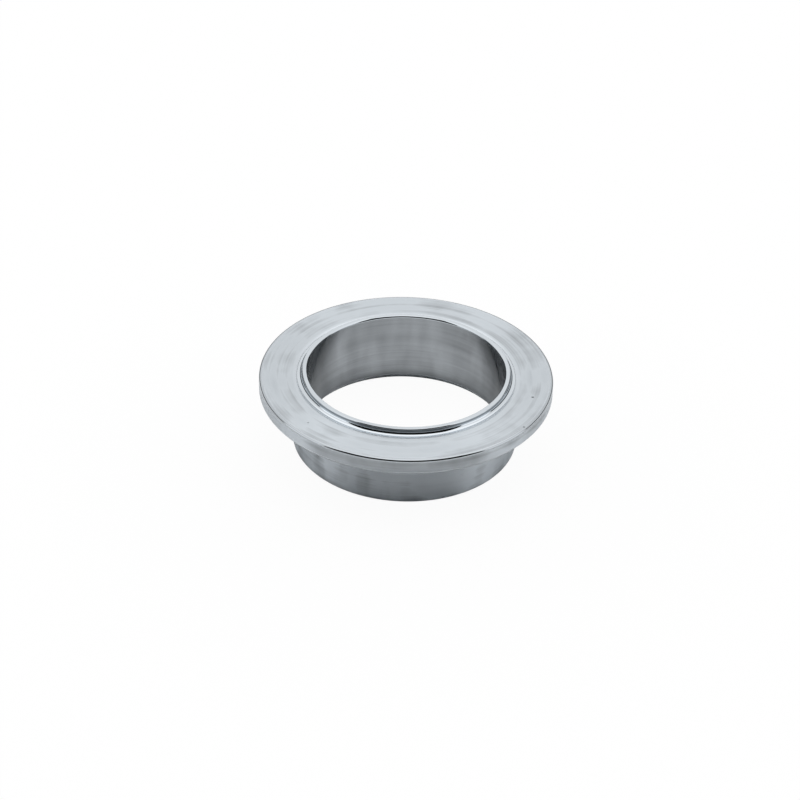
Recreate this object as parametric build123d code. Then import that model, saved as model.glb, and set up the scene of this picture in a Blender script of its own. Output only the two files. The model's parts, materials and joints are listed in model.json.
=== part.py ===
from build123d import *
from collections import namedtuple
from math import radians, tan
import os

# V-band weld flange, turned from bar as one piece, in millimetres.
# The origin is the centre of the weld end, and +Z runs up the bore to the mating face.

# Driving dimensions across the axis.
bore_diameter = 42.0
neck_wall = 3.15  # the bore and two walls make the outside of a 1 1/2 inch pipe, 48.3
flange_reach = 7.05  # how far the disc stands out from the neck
lip_width = 1.08  # from the bore to the outside of the locating lip, at its top
relief_width = 1.5  # the relief at the lip's foot, out from the lip's top
weld_chamfer_width = 1.28  # opens the bore at the weld end

# Driving dimensions along the axis.
face_height = 15.9  # weld end to mating face
rim_height = 3.4  # straight edge of the disc, corners included
lip_height = 1.05  # the lip above the mating face
weld_chamfer_length = 1.5

# The back of the disc slopes for the clamp's V groove, whose two flanks are 40 degrees apart.
clamp_bevel_angle = 20.0
# The outside of the lip leans in towards its top, so that the mating flange finds it.
lip_lead_angle = 8.0
# The far side of the relief climbs back to the mating face at this angle.
relief_angle = 25.0

# Rounded corners.
rim_face_round = 0.54
bevel_root_round = 1.0
lip_foot_round = 0.75

# Broken edges, each as far along one side of the corner as across it.
rim_back_break = 0.3
lip_edge_break = 0.12
bore_mouth_break = 0.2
neck_edge_break = 0.2

# A round takes up at most this share of the wall that it runs into.
largest_round_share = 0.9

# A corner of the turned section: its distance from the axis, its height and its round.
Corner = namedtuple("Corner", "radius height round")


def lip_corners():
    """The lip's outside and its relief, from the mating face inwards."""
    lip_radius = bore_diameter / 2 + lip_width
    relief_radius = lip_radius + relief_width
    lip_top = face_height + lip_height
    shoulder = lip_top - lip_edge_break
    lead_slope = tan(radians(lip_lead_angle))
    relief_slope = tan(radians(relief_angle))
    # The leaning side of the lip and the far side of the relief meet this far under the shoulder.
    foot_drop = (shoulder - face_height + relief_width * relief_slope) / (1 + lead_slope * relief_slope)
    foot_radius = lip_radius + foot_drop * lead_slope
    # The corner that they make is this wide, and the shorter of the two has to hold its round.
    foot_angle = 90 + lip_lead_angle - relief_angle
    shorter_side = min(foot_drop, relief_radius - foot_radius)
    largest_round = shorter_side * tan(radians(foot_angle / 2)) * largest_round_share
    return [
        Corner(relief_radius, face_height, 0),
        Corner(foot_radius, shoulder - foot_drop, min(lip_foot_round, largest_round)),
        Corner(lip_radius, shoulder, 0),
        Corner(lip_radius - lip_edge_break, lip_top, 0),
    ]


def section_corners():
    """The section's corners, from the weld end up the outside, over the lip and down the bore."""
    bore_radius = bore_diameter / 2
    neck_radius = bore_radius + neck_wall
    flange_radius = neck_radius + flange_reach
    rim_foot = face_height - rim_height
    lip_top = face_height + lip_height
    bevel_slope = tan(radians(clamp_bevel_angle))
    return [
        Corner(bore_radius + weld_chamfer_width, 0, 0),
        Corner(neck_radius - neck_edge_break, 0, 0),
        Corner(neck_radius, neck_edge_break, 0),
        Corner(neck_radius, rim_foot - flange_reach * bevel_slope, bevel_root_round),
        Corner(flange_radius - rim_back_break, rim_foot - rim_back_break * bevel_slope, 0),
        Corner(flange_radius, rim_foot + rim_back_break, 0),
        Corner(flange_radius, face_height, rim_face_round),
        *lip_corners(),
        Corner(bore_radius + bore_mouth_break, lip_top, 0),
        Corner(bore_radius, lip_top - bore_mouth_break, 0),
        Corner(bore_radius, weld_chamfer_length, 0),
    ]


def turned_ring(corners):
    """The section that the corners enclose, turned once round the axis."""
    points = [(corner.radius, corner.height) for corner in corners]
    rounds = [corner.round for corner in corners]
    outline = FilletPolyline(points, radius=rounds, close=True)
    section = make_face(Plane.XZ * outline)
    return revolve(section, axis=Axis.Z)


os.makedirs("parts", exist_ok=True)

flange = turned_ring(section_corners())
flange.label = "flange"
export_step(flange, "parts/flange.step")
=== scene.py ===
import json
import math

import bpy
import numpy as np
from mathutils import Matrix, Vector


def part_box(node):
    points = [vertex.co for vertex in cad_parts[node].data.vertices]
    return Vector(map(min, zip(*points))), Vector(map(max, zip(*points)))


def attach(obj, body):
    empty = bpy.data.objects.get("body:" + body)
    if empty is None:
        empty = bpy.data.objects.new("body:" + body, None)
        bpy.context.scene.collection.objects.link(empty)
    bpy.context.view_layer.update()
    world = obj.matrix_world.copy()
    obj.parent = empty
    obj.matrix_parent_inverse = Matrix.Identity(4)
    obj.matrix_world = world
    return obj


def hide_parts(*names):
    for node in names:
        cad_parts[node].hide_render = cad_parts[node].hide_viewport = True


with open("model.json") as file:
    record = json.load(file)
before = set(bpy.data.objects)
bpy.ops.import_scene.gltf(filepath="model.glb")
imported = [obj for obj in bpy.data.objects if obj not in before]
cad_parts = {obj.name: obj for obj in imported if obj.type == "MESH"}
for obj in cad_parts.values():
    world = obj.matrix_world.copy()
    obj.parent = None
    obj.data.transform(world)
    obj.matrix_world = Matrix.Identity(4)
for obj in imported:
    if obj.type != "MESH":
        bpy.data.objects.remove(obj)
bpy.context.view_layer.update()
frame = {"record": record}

# A V-band weld flange turned from stainless bar, standing on its weld end in a light tent.
# Lengths are in metres. MM turns a size in millimetres into metres.
MM = 0.001

# Sizes from the frame: each round wall is a radius with its lowest and highest point.
mounts = {mount["name"]: mount for mount in frame["record"]["mounts"]}


def wall(name):
    """Radius, lowest and highest point of the straight round wall that a mount names."""
    mount = mounts[name]
    half = mount["dims"]["length_mm"] * MM / 2
    middle = mount["pos_m"][2]
    return mount["dims"]["r_mm"] * MM, middle - half, middle + half


BORE_RADIUS, BORE_LOW, _ = wall("bore")
NECK_RADIUS, NECK_LOW, _ = wall("neck")
RIM_RADIUS, RIM_LOW, RIM_HIGH = wall("rim")
FACE_HEIGHT = mounts["mating_face"]["pos_m"][2]
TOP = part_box("flange")[1].z

# Forms that no mount measures.
LIP_WIDTH = 1.08 * MM
LIP_EDGE_BREAK = 0.12 * MM
LIP_LEAD_ANGLE = math.radians(8)
LIP_FOOT_ROUND = 0.75 * MM
RELIEF_WIDTH = 1.5 * MM
RELIEF_ANGLE = math.radians(25)
RELIEF_EDGE_ROUND = 2.0 * MM
BORE_MOUTH_BREAK = 0.2 * MM
BORE_MOUTH_ROUND = 0.4 * MM
BEVEL_ANGLE = math.radians(20)
BEVEL_ROOT_ROUND = 1.0 * MM
WELD_CHAMFER_WIDTH = 1.28 * MM
RIM_BACK_BREAK = 0.3 * MM
# A turned edge that was broken with a file is never quite sharp.
SOFT_EDGE = 0.05 * MM

# How finely the surface is cut: the longest step along a wall, the steps in a round, the steps in a
# softened edge, which is any round up to LARGEST_SOFT_EDGE, and the steps round the axis.
LONGEST_STEP = 0.9 * MM
ROUND_STEPS = 12
SOFT_EDGE_STEPS = 3
LARGEST_SOFT_EDGE = 0.1 * MM
TURN_STEPS = 540
# At each end of a wall the finish changes over this length. A wall up to SHORTEST_WALL is left whole.
FINISH_CHANGE = 0.12 * MM
SHORTEST_WALL = 0.48 * MM

# How each wall was left: its roughness across the tool's rings, its tone, which on the bore, the lip's side
# and the rim's top round is painted shade darker than the metal, how strong the marks on it are and how
# strong the streaks are among them.
FINISH_VALUES = ("roughness", "tone", "marks", "streaks")
FINISHES = {
    "face": (0.4, 1.0, 1.0, 0.2),
    "rim": (0.52, 1.0, 1.0, 1.1),
    "neck": (0.46, 1.0, 1.0, 1.5),
    # The bore is painted darker: painted shade that stands in for the dark reflections deep inside it.
    "bore": (0.17, 0.47, 0.65, 1.4),
    "bevel": (0.4, 1.0, 1.0, 0.3),
    "lip": (0.04, 1.0, 0.2, 0.0),
    # The lip's side is painted darker: a painted dark reflection line along the lip's wall.
    "lip side": (0.05, 0.45, 0.2, 0.0),
    "edge": (0.03, 1.0, 0.2, 0.0),
    # The rim's top round is painted darker: a painted dark reflection line along the disc's edge.
    "rim edge": (0.03, 0.75, 0.2, 0.0),
    "weld end": (0.3, 0.9, 1.0, 0.0),
}
# The polish of the lip's foot fades into the face's finish between these distances from the axis,
# and this is the roughness at the first two of them.
POLISH_FADE = (22.85 * MM, 23.4 * MM, 24.4 * MM)
POLISH_ROUGHNESS = (0.04, 0.28)
# The marks never make the metal smoother than this.
LEAST_ROUGHNESS = 0.02
# The rings draw the mirror out across them, a quarter turn from the way they run.
ANISOTROPY = 0.85
ANISOTROPY_TURN = 0.25

# The widths of the marks. The mesh carries the distance along the section in millimetres, so the
# rings' widths are in millimetres too.
FINE_RING = 0.45
BROAD_RING = 1.6
PATCH = 9 * MM
# Rings and streaks are read on a circle round the axis. The small circle keeps a ring nearly even all
# the way round, and the large one makes about 30 streaks.
RING_DRIFT = 0.6
STREAK_REACH = 5.0
# How fast a streak changes along the section.
STREAK_DRIFT = 0.06
# The noise stays near a half, and this part of its range is spread to -1 to 1.
NOISE_RANGE = (0.3, 0.7)
# How much each mark changes the metal's brightness and its roughness.
MARKS = {
    "fine rings": (0.09, 0.03),
    "broad rings": (0.15, 0.05),
    "streaks": (0.16, 0.0),
    "patches": (0.2, 0.05),
}
GROOVE_DEPTH = 0.003 * MM
# Small pits from handling, on the mating face: azimuth from the viewer's side in degrees, distance
# from the axis and radius in millimetres.
PITS = [(-46, 27.5, 0.32), (74, 27.6, 0.4), (52.7, 30.5, 0.35)]
PIT_DEPTH = 0.1 * MM
# How much darker the middle of a pit is, as a share of its brightness.
PIT_DARKENING = 0.45

# The light tent: how bright its walls, its back and its roof are, where a fully lit white sheet is 1.
TENT_SIDE = 1.0
TENT_BACK = 1.08
TENT_ROOF = 1.5
# The side walls' light turns into the back's as a direction's part towards the back rises to this.
BACK_FROM = 0.8
# Elevations in degrees between which the roof sets in.
ROOF_EDGE = (37, 57)
# The cards round the object, each with its azimuths from the camera's side and its elevations, in
# degrees: a black flag in front, the dark room that shows under the side and back panels of the
# tent, and a soft box, which stands on both sides.
FRONT_FLAG = (-57, 57), (0, 58)
DARK_BAND = (94, 266), (0, 17)
SOFT_BOX = (60, 92), (3, 30)
SOFT_BOX_LIGHT = 1.45
CARD_DISTANCE = 0.62
SOFT_BOX_DISTANCE = 0.6
# The points across and up each bent card.
CARD_GRID = (49, 25)
CARD_ROUGHNESS = 0.5
# Half the width of the floor.
FLOOR_HALF = 3.0
# The floor turns to plain white between these distances from the axis, by these shares.
FLOOR_FADE = (0.035, 0.1)
FLOOR_WHITE = (0.95, 0.99)
# Inside the ring a painted pool of light, white glow that mirrors see on the paper, is full up to the first
# distance and gone by the second.
PAINTED_BORE_POOL = (0.014, 0.020)

# The camera, from the photograph's perspective. The centre of the mating face lies CAMERA_DISTANCE
# ahead of it, and CAMERA_RIGHT and CAMERA_DOWN off the line along which it looks.
CAMERA_ELEVATION = math.radians(34.649)
CAMERA_ROLL = math.radians(1.587)
CAMERA_DISTANCE = 388.89 * MM
CAMERA_RIGHT = 1.322 * MM
CAMERA_DOWN = -5.743 * MM
# How near and how far it sees.
CAMERA_REACH = (0.01, 20.0)
# The focal length and the sensor's width, in millimetres.
LENS = 82.5
SENSOR = 36.0


def linear(hex_colour):
    """An sRGB hex colour as linear red, green, blue and a full alpha."""
    parts = [int(hex_colour[i:i + 2], 16) / 255 for i in (0, 2, 4)]
    return [part / 12.92 if part <= 0.04045 else ((part + 0.055) / 1.055) ** 2.4 for part in parts] + [1.0]


def add_node(tree, kind, inputs=None, **settings):
    """Adds a node, applies its settings and fills its inputs with links or plain values."""
    node = tree.nodes.new(kind)
    for name, value in settings.items():
        setattr(node, name, value)
    for key, value in (inputs or {}).items():
        if isinstance(value, bpy.types.NodeSocket):
            tree.links.new(value, node.inputs[key])
        else:
            node.inputs[key].default_value = value
    return node


def empty_material(name):
    """A material with no nodes yet, and its node tree."""
    material = bpy.data.materials.new(name)
    material.use_nodes = True
    material.node_tree.nodes.clear()
    return material, material.node_tree


def add_piece(name, points, faces):
    """A mesh from points and faces, on an object at the origin."""
    mesh = bpy.data.meshes.new(name)
    mesh.from_pydata(points, [], faces)
    mesh.update()
    piece = bpy.data.objects.new(name, mesh)
    bpy.context.scene.collection.objects.link(piece)
    return piece


def section_corners():
    """Corners of the turned section: distance from the axis, height, round and the wall that follows.

    They run from the weld end up the outside, over the lip and down the bore. The neck's mount
    starts where its broken edge ends, as far up as in, and the bore's where the weld chamfer ends.
    """
    lip_radius = BORE_RADIUS + LIP_WIDTH
    shoulder = TOP - LIP_EDGE_BREAK
    lead_slope = math.tan(LIP_LEAD_ANGLE)
    relief_slope = math.tan(RELIEF_ANGLE)
    # The leaning side of the lip and the far side of the relief meet this far under the shoulder.
    foot_drop = (shoulder - FACE_HEIGHT + RELIEF_WIDTH * relief_slope) / (1 + lead_slope * relief_slope)
    bevel_slope = math.tan(BEVEL_ANGLE)
    rim_foot = RIM_LOW - RIM_BACK_BREAK
    return [
        (BORE_RADIUS + WELD_CHAMFER_WIDTH, 0, SOFT_EDGE, "weld end"),
        (NECK_RADIUS - NECK_LOW, 0, SOFT_EDGE, "edge"),
        (NECK_RADIUS, NECK_LOW, SOFT_EDGE, "neck"),
        (NECK_RADIUS, rim_foot - (RIM_RADIUS - NECK_RADIUS) * bevel_slope, BEVEL_ROOT_ROUND, "bevel"),
        (RIM_RADIUS - RIM_BACK_BREAK, rim_foot - RIM_BACK_BREAK * bevel_slope, SOFT_EDGE, "edge"),
        (RIM_RADIUS, RIM_LOW, SOFT_EDGE, "rim"),
        (RIM_RADIUS, FACE_HEIGHT, FACE_HEIGHT - RIM_HIGH, "face"),
        (lip_radius + RELIEF_WIDTH, FACE_HEIGHT, RELIEF_EDGE_ROUND, "lip"),
        (lip_radius + foot_drop * lead_slope, shoulder - foot_drop, LIP_FOOT_ROUND, "lip side"),
        (lip_radius, shoulder, SOFT_EDGE, "lip"),
        (lip_radius - LIP_EDGE_BREAK, TOP, SOFT_EDGE, "lip"),
        (BORE_RADIUS + BORE_MOUTH_BREAK, TOP, SOFT_EDGE, "lip"),
        (BORE_RADIUS, TOP - BORE_MOUTH_BREAK, BORE_MOUTH_ROUND, "bore"),
        (BORE_RADIUS, BORE_LOW, SOFT_EDGE, "weld end"),
    ]


def turned_outline():
    """The closed outline of the section: points, finish at each point and distance along the outline.

    A round of radius q in a corner whose two sides meet at the angle t starts q / tan(t / 2) before
    the corner and ends as far after it. Its centre is q / sin(t / 2) from the corner, half way
    between the sides. Its sweep is 180 degrees less t, and the point at the share s of it lies from
    the centre by the arm to its start times sin((1 - s) sweep) and the arm to its end times
    sin(s sweep), both over sin(sweep). A wall is cut into equal steps no longer than LONGEST_STEP,
    after a short step at each end, where the finish changes from the round's to the wall's.
    """
    corners = section_corners()
    points = np.array([corner[:2] for corner in corners], dtype=float)
    rounds = np.array([corner[2] for corner in corners])
    before = np.roll(points, 1, axis=0) - points
    after = np.roll(points, -1, axis=0) - points
    before /= np.linalg.norm(before, axis=1, keepdims=True)
    after /= np.linalg.norm(after, axis=1, keepdims=True)
    half = np.arccos(np.clip((before * after).sum(axis=1), -1, 1)) / 2
    starts = points + before * (rounds / np.tan(half))[:, None]
    ends = points + after * (rounds / np.tan(half))[:, None]
    middle = before + after
    middle /= np.linalg.norm(middle, axis=1, keepdims=True)
    centres = points + middle * (rounds / np.sin(half))[:, None]
    outline = []
    finish = []
    for i, (_, _, size, wall_name) in enumerate(corners):
        steps = ROUND_STEPS if size > LARGEST_SOFT_EDGE else SOFT_EDGE_STEPS
        low, high = starts[i] - centres[i], ends[i] - centres[i]
        sweep = math.pi - 2 * half[i]
        share = np.linspace(0, 1, steps + 1)[:, None]
        arc = (low * np.sin((1 - share) * sweep) + high * np.sin(share * sweep)) / math.sin(sweep)
        outline.append(centres[i] + arc)
        # The rim's top round takes the finish that paints a dark reflection line on it.
        finish += [FINISHES["rim edge" if wall_name == "face" else "edge"]] * (steps + 1)
        run = starts[(i + 1) % len(points)] - ends[i]
        length = np.linalg.norm(run)
        if length > SHORTEST_WALL:
            cuts = math.ceil((length - 2 * FINISH_CHANGE) / LONGEST_STEP)
            places = np.linspace(FINISH_CHANGE, length - FINISH_CHANGE, cuts + 1) / length
            outline.append(ends[i] + run * places[:, None])
            finish += [FINISHES[wall_name]] * (cuts + 1)
    outline = np.concatenate(outline)
    finish = np.array(finish)
    # The polish of the lip's foot fades into the face's finish over the far side of the relief.
    radius, height = outline[:, 0], outline[:, 1]
    relief = (radius > POLISH_FADE[0]) & (radius < POLISH_FADE[-1]) & (height > RIM_LOW)
    fade = np.interp(radius, POLISH_FADE, (*POLISH_ROUGHNESS, FINISHES["face"][0]))
    finish[:, 0] = np.where(relief, fade, finish[:, 0])
    steps = np.linalg.norm(np.diff(outline, axis=0), axis=1)
    along = np.concatenate([[0], np.cumsum(steps)])
    return outline, finish, along


def turned_mesh(name, outline, attributes):
    """The outline turned round the axis: a point at distance r and angle a is (r cos a, r sin a, height)."""
    angle = np.arange(TURN_STEPS) * 2 * math.pi / TURN_STEPS
    radius, height = outline[:, 0], outline[:, 1]
    grid = np.stack([
        np.outer(radius, np.cos(angle)),
        np.outer(radius, np.sin(angle)),
        np.repeat(height[:, None], TURN_STEPS, axis=1),
    ], axis=-1)
    here = np.arange(len(outline))[:, None] * TURN_STEPS + np.arange(TURN_STEPS)
    up = np.roll(here, -1, axis=0)
    # The outline runs anticlockwise in the section, so this order of corners points outwards.
    quads = np.stack([here, np.roll(here, -1, axis=1), np.roll(up, -1, axis=1), up], axis=-1)
    piece = add_piece(name, grid.reshape(-1, 3).tolist(), quads.reshape(-1, 4).tolist())
    piece.data.shade_smooth()
    for key, values in attributes.items():
        layer = piece.data.attributes.new(key, "FLOAT", "POINT")
        layer.data.foreach_set("value", np.repeat(values, TURN_STEPS).astype(np.float32))
    return piece


def turned_stainless_steel():
    """Stainless steel, turned on a lathe and wiped by hand.

    Its mirror is drawn out across the fine rings that the tool left. Some rings are coarser and
    duller than others, faint streaks run across them where the tool chattered, and soft dull
    patches show where it was handled. The tool's true pitch, near 0.1 mm, is too fine to show at
    this distance, so the rings here are the coarser ones that stand out.
    """
    material, tree = empty_material("turned_stainless_steel")
    place = add_node(tree, "ShaderNodeTexCoord").outputs["Object"]
    parts = add_node(tree, "ShaderNodeSeparateXYZ", {0: place}).outputs
    flat = add_node(tree, "ShaderNodeCombineXYZ", {"X": parts["X"], "Y": parts["Y"]}).outputs[0]
    spoke = add_node(tree, "ShaderNodeVectorMath", {0: flat}, operation="NORMALIZE").outputs[0]
    carried = {
        name: add_node(tree, "ShaderNodeAttribute", attribute_name=name).outputs["Fac"]
        for name in (*FINISH_VALUES, "along")
    }
    section = add_node(tree, "ShaderNodeCombineXYZ", {"Z": carried["along"]}).outputs[0]
    # A ring keeps its place along the section and changes slowly round the axis.
    ring_place = add_node(tree, "ShaderNodeVectorMath", {
        0: spoke, 1: (RING_DRIFT, RING_DRIFT, 0), 2: section}, operation="MULTIPLY_ADD").outputs[0]
    # A streak keeps its place round the axis and changes slowly along the section.
    streak_spread = (STREAK_REACH / RING_DRIFT, STREAK_REACH / RING_DRIFT, STREAK_DRIFT)
    streak_place = add_node(tree, "ShaderNodeVectorMath", {
        0: ring_place, 1: streak_spread}, operation="MULTIPLY").outputs[0]
    pattern = {}
    for name, vector, scale, detail in (
            ("fine rings", ring_place, 1 / FINE_RING, 1.0),
            ("broad rings", ring_place, 1 / BROAD_RING, 1.0),
            ("streaks", streak_place, 1.0, 2.0),
            ("patches", place, 1 / PATCH, 2.0)):
        noise = add_node(tree, "ShaderNodeTexNoise", {"Vector": vector, "Scale": scale, "Detail": detail})
        pattern[name] = add_node(tree, "ShaderNodeMapRange", {
            "Value": noise.outputs["Fac"], "From Min": NOISE_RANGE[0], "From Max": NOISE_RANGE[1],
            "To Min": -1.0, "To Max": 1.0}, clamp=False).outputs[0]
    pattern["streaks"] = add_node(tree, "ShaderNodeMath", {
        0: pattern["streaks"], 1: carried["streaks"]}, operation="MULTIPLY").outputs[0]
    shade, rough = 0.0, 0.0
    for name, (shade_share, rough_share) in MARKS.items():
        shade = add_node(tree, "ShaderNodeMath", {
            0: pattern[name], 1: shade_share, 2: shade}, operation="MULTIPLY_ADD").outputs[0]
        rough = add_node(tree, "ShaderNodeMath", {
            0: pattern[name], 1: rough_share, 2: rough}, operation="MULTIPLY_ADD").outputs[0]
    roughness = add_node(tree, "ShaderNodeMath", {
        0: rough, 1: carried["marks"], 2: carried["roughness"]}, operation="MULTIPLY_ADD").outputs[0]
    roughness = add_node(tree, "ShaderNodeMath", {
        0: roughness, 1: LEAST_ROUGHNESS}, operation="MAXIMUM").outputs[0]
    shade = add_node(tree, "ShaderNodeMath", {
        0: shade, 1: carried["marks"], 2: 1.0}, operation="MULTIPLY_ADD").outputs[0]
    # A pit is deepest in its middle and ends at its radius. It is darker towards its middle.
    pits = 0.0
    for azimuth, distance, radius in PITS:
        turn = math.radians(azimuth)
        middle = (distance * MM * math.sin(turn), -distance * MM * math.cos(turn), FACE_HEIGHT)
        away = add_node(tree, "ShaderNodeVectorMath", {0: place, 1: middle}, operation="DISTANCE")
        pit = add_node(tree, "ShaderNodeMapRange", {
            "Value": away.outputs["Value"], "From Min": 0.0, "From Max": radius * MM,
            "To Min": 1.0, "To Max": 0.0}, interpolation_type="SMOOTHSTEP").outputs[0]
        pits = add_node(tree, "ShaderNodeMath", {0: pits, 1: pit}, operation="MAXIMUM").outputs[0]
    pit_brightness = add_node(tree, "ShaderNodeMath", {
        0: pits, 1: -PIT_DARKENING, 2: 1.0}, operation="MULTIPLY_ADD").outputs[0]
    # The tone carries painted shade: the bore, the lip's side and the rim's top round are painted darker
    # than the metal.
    tone = add_node(tree, "ShaderNodeMath", {0: shade, 1: carried["tone"]}, operation="MULTIPLY").outputs[0]
    tone = add_node(tree, "ShaderNodeMath", {0: tone, 1: pit_brightness}, operation="MULTIPLY").outputs[0]
    colour = add_node(tree, "ShaderNodeMix", {
        "Factor": tone, "A": linear("000000"), "B": linear("c8ced3")}, data_type="RGBA")
    # The rings are shallow grooves, and the pits sink in.
    height = add_node(tree, "ShaderNodeMath", {
        0: pattern["broad rings"], 1: carried["marks"]}, operation="MULTIPLY").outputs[0]
    relief = add_node(tree, "ShaderNodeBump", {
        "Strength": 1.0, "Distance": GROOVE_DEPTH, "Height": height}).outputs[0]
    relief = add_node(tree, "ShaderNodeBump", {
        "Strength": 1.0, "Distance": PIT_DEPTH, "Height": pits, "Normal": relief}, invert=True).outputs[0]
    tangent = add_node(tree, "ShaderNodeTangent", direction_type="RADIAL", axis="Z").outputs[0]
    steel = add_node(tree, "ShaderNodeBsdfPrincipled", {
        "Base Color": colour.outputs["Result"],
        "Metallic": 1.0,
        "Roughness": roughness,
        "Anisotropic": ANISOTROPY,
        "Anisotropic Rotation": ANISOTROPY_TURN,
        "Tangent": tangent,
        "Normal": relief,
    })
    add_node(tree, "ShaderNodeOutputMaterial", {"Surface": steel.outputs[0]})
    return material


def build_ring():
    """The whole flange as one turned surface, in place of the plain solid."""
    outline, finish, along = turned_outline()
    ring = turned_mesh("turned_ring", outline, {**dict(zip(FINISH_VALUES, finish.T)), "along": along / MM})
    ring.data.materials.append(turned_stainless_steel())
    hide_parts("flange")
    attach(ring, "root")


def matt_material(name, colour):
    """A matt, even sheet, such as felt or card."""
    material, tree = empty_material(name)
    sheet = add_node(tree, "ShaderNodeBsdfDiffuse", {"Color": linear(colour), "Roughness": CARD_ROUGHNESS})
    add_node(tree, "ShaderNodeOutputMaterial", {"Surface": sheet.outputs[0]})
    return material


def glowing_material(name, colour, strength):
    """An evenly lit sheet, such as the front of a soft box."""
    material, tree = empty_material(name)
    glow = add_node(tree, "ShaderNodeEmission", {"Color": linear(colour), "Strength": strength})
    add_node(tree, "ShaderNodeOutputMaterial", {"Surface": glow.outputs[0]})
    return material


def dome_card(name, azimuths, elevations, distance, material):
    """A card bent to a sphere about the origin, which the camera doesn't see.

    Its point at the azimuth a from the camera's side and the elevation e from the floor is
    (sin a cos e, -cos a cos e, sin e), times the distance.
    """
    columns, rows = CARD_GRID
    azimuth = np.radians(np.linspace(*azimuths, columns))
    elevation = np.radians(np.linspace(*elevations, rows))
    a, e = np.meshgrid(azimuth, elevation)
    grid = distance * np.stack([np.sin(a) * np.cos(e), -np.cos(a) * np.cos(e), np.sin(e)], axis=-1)
    here = np.arange(rows - 1)[:, None] * columns + np.arange(columns - 1)
    quads = np.stack([here, here + 1, here + columns + 1, here + columns], axis=-1)
    card = add_piece(name, grid.reshape(-1, 3).tolist(), quads.reshape(-1, 4).tolist())
    card.data.materials.append(material)
    card.visible_camera = False


def floor_paper():
    """White paper that fades to plain white light away from the object, and keeps its shadow near it.

    The camera, mirrors and clear materials see the plain white, and all other light meets the paper. Inside
    the ring, mirrors also see a painted pool of light near the axis.
    """
    material, tree = empty_material("floor_paper")
    place = add_node(tree, "ShaderNodeTexCoord").outputs["Object"]
    distance = add_node(tree, "ShaderNodeVectorMath", {0: place}, operation="LENGTH").outputs["Value"]
    rays = add_node(tree, "ShaderNodeLightPath").outputs
    # Near the object the camera sees most of the white too, and mirrors see the shaded paper, except for the
    # painted pool inside the ring.
    near = add_node(tree, "ShaderNodeMath", {
        0: rays["Is Camera Ray"], 1: FLOOR_WHITE[0]}, operation="MULTIPLY").outputs[0]
    # Inside the ring mirrors see a painted pool of light: white glow mixed into the paper near the axis,
    # which stands in for the light that falls through the bore.
    inside = add_node(tree, "ShaderNodeMapRange", {
        "Value": distance, "From Min": PAINTED_BORE_POOL[0], "From Max": PAINTED_BORE_POOL[1],
        "To Min": FLOOR_WHITE[0], "To Max": 0.0}, interpolation_type="SMOOTHSTEP").outputs[0]
    near = add_node(tree, "ShaderNodeMath", {0: inside, 1: near}, operation="MAXIMUM").outputs[0]
    far = add_node(tree, "ShaderNodeMapRange", {
        "Value": distance, "From Min": FLOOR_FADE[0], "From Max": FLOOR_FADE[1],
        "To Min": near, "To Max": FLOOR_WHITE[1]}, interpolation_type="SMOOTHSTEP").outputs[0]
    seen = 0.0
    for kind in ("Is Camera Ray", "Is Glossy Ray", "Is Transmission Ray"):
        seen = add_node(tree, "ShaderNodeMath", {0: seen, 1: rays[kind]}, operation="MAXIMUM").outputs[0]
    share = add_node(tree, "ShaderNodeMath", {0: far, 1: seen}, operation="MULTIPLY").outputs[0]
    paper = add_node(tree, "ShaderNodeBsdfDiffuse", {"Color": linear("f4f4f4")}).outputs[0]
    white = add_node(tree, "ShaderNodeEmission", {"Color": linear("ffffff"), "Strength": 1.0}).outputs[0]
    surface = add_node(tree, "ShaderNodeMixShader", {0: share, 1: paper, 2: white}).outputs[0]
    add_node(tree, "ShaderNodeOutputMaterial", {"Surface": surface})
    return material


def build_floor():
    """A flat square sheet of paper under the object, at height 0."""
    corners = [(x * FLOOR_HALF, y * FLOOR_HALF, 0) for x, y in ((-1, -1), (1, -1), (1, 1), (-1, 1))]
    floor = add_piece("floor", corners, [(0, 1, 2, 3)])
    floor.data.materials.append(floor_paper())


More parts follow.
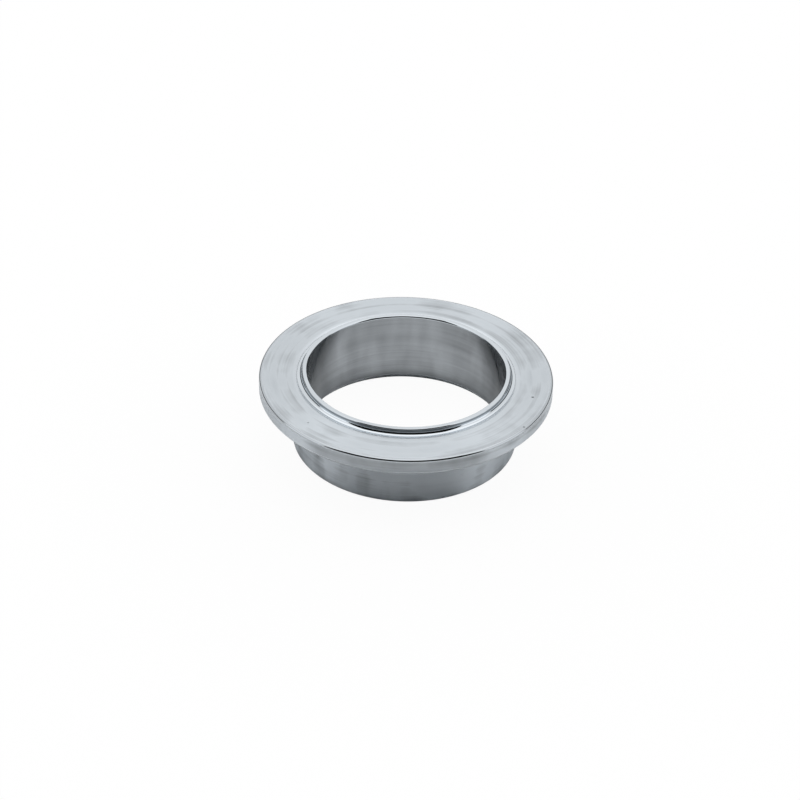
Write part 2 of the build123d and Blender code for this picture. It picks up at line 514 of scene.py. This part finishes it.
def build_studio():
    """The floor, the cards and the soft boxes, inside a light tent of white cloth."""
    build_floor()
    felt = matt_material("black_felt", "161616")
    grey = matt_material("grey_card", "303030")
    dome_card("front_flag", *FRONT_FLAG, CARD_DISTANCE, felt)
    dome_card("dark_band", *DARK_BAND, CARD_DISTANCE, grey)
    lit = glowing_material("soft_box", "fcfdff", SOFT_BOX_LIGHT)
    azimuths, elevations = SOFT_BOX
    for side, name in ((-1, "left_soft_box"), (1, "right_soft_box")):
        dome_card(name, [side * azimuth for azimuth in azimuths], elevations, SOFT_BOX_DISTANCE, lit)
    world = bpy.data.worlds.new("light_tent")
    bpy.context.scene.world = world
    world.use_nodes = True
    tree = world.node_tree
    tree.nodes.clear()
    way = add_node(tree, "ShaderNodeTexCoord").outputs["Generated"]
    parts = add_node(tree, "ShaderNodeSeparateXYZ", {0: way}).outputs
    wall_light = add_node(tree, "ShaderNodeMapRange", {
        "Value": parts["Y"], "From Min": 0.0, "From Max": BACK_FROM,
        "To Min": TENT_SIDE, "To Max": TENT_BACK}, interpolation_type="SMOOTHSTEP").outputs[0]
    low, high = (math.sin(math.radians(angle)) for angle in ROOF_EDGE)
    roof = add_node(tree, "ShaderNodeMapRange", {
        "Value": parts["Z"], "From Min": low, "From Max": high}, interpolation_type="SMOOTHSTEP").outputs[0]
    strength = add_node(tree, "ShaderNodeMix", {"Factor": roof, "A": wall_light, "B": TENT_ROOF}).outputs[0]
    tent = add_node(tree, "ShaderNodeBackground", {"Color": linear("ffffff"), "Strength": strength})
    add_node(tree, "ShaderNodeOutputWorld", {"Surface": tent.outputs[0]})


def build_camera():
    """A camera that looks down on the mating face, turned a little about its own axis."""
    right = Vector((1, 0, 0))
    down = Vector((0, -math.sin(CAMERA_ELEVATION), -math.cos(CAMERA_ELEVATION)))
    ahead = Vector((0, math.cos(CAMERA_ELEVATION), -math.sin(CAMERA_ELEVATION)))
    turned_right = right * math.cos(CAMERA_ROLL) - down * math.sin(CAMERA_ROLL)
    turned_down = right * math.sin(CAMERA_ROLL) + down * math.cos(CAMERA_ROLL)
    centre = Vector((0, 0, FACE_HEIGHT))
    place = centre - turned_right * CAMERA_RIGHT - turned_down * CAMERA_DOWN - ahead * CAMERA_DISTANCE
    data = bpy.data.cameras.new("camera")
    data.lens = LENS
    data.sensor_width = SENSOR
    data.clip_start, data.clip_end = CAMERA_REACH
    camera = bpy.data.objects.new("camera", data)
    camera.matrix_world = Matrix((
        (turned_right.x, -turned_down.x, -ahead.x, place.x),
        (turned_right.y, -turned_down.y, -ahead.y, place.y),
        (turned_right.z, -turned_down.z, -ahead.z, place.z),
        (0, 0, 0, 1),
    ))
    bpy.context.scene.collection.objects.link(camera)
    bpy.context.scene.camera = camera


build_ring()
build_studio()
build_camera()
bpy.context.scene.view_settings.view_transform = "Standard"
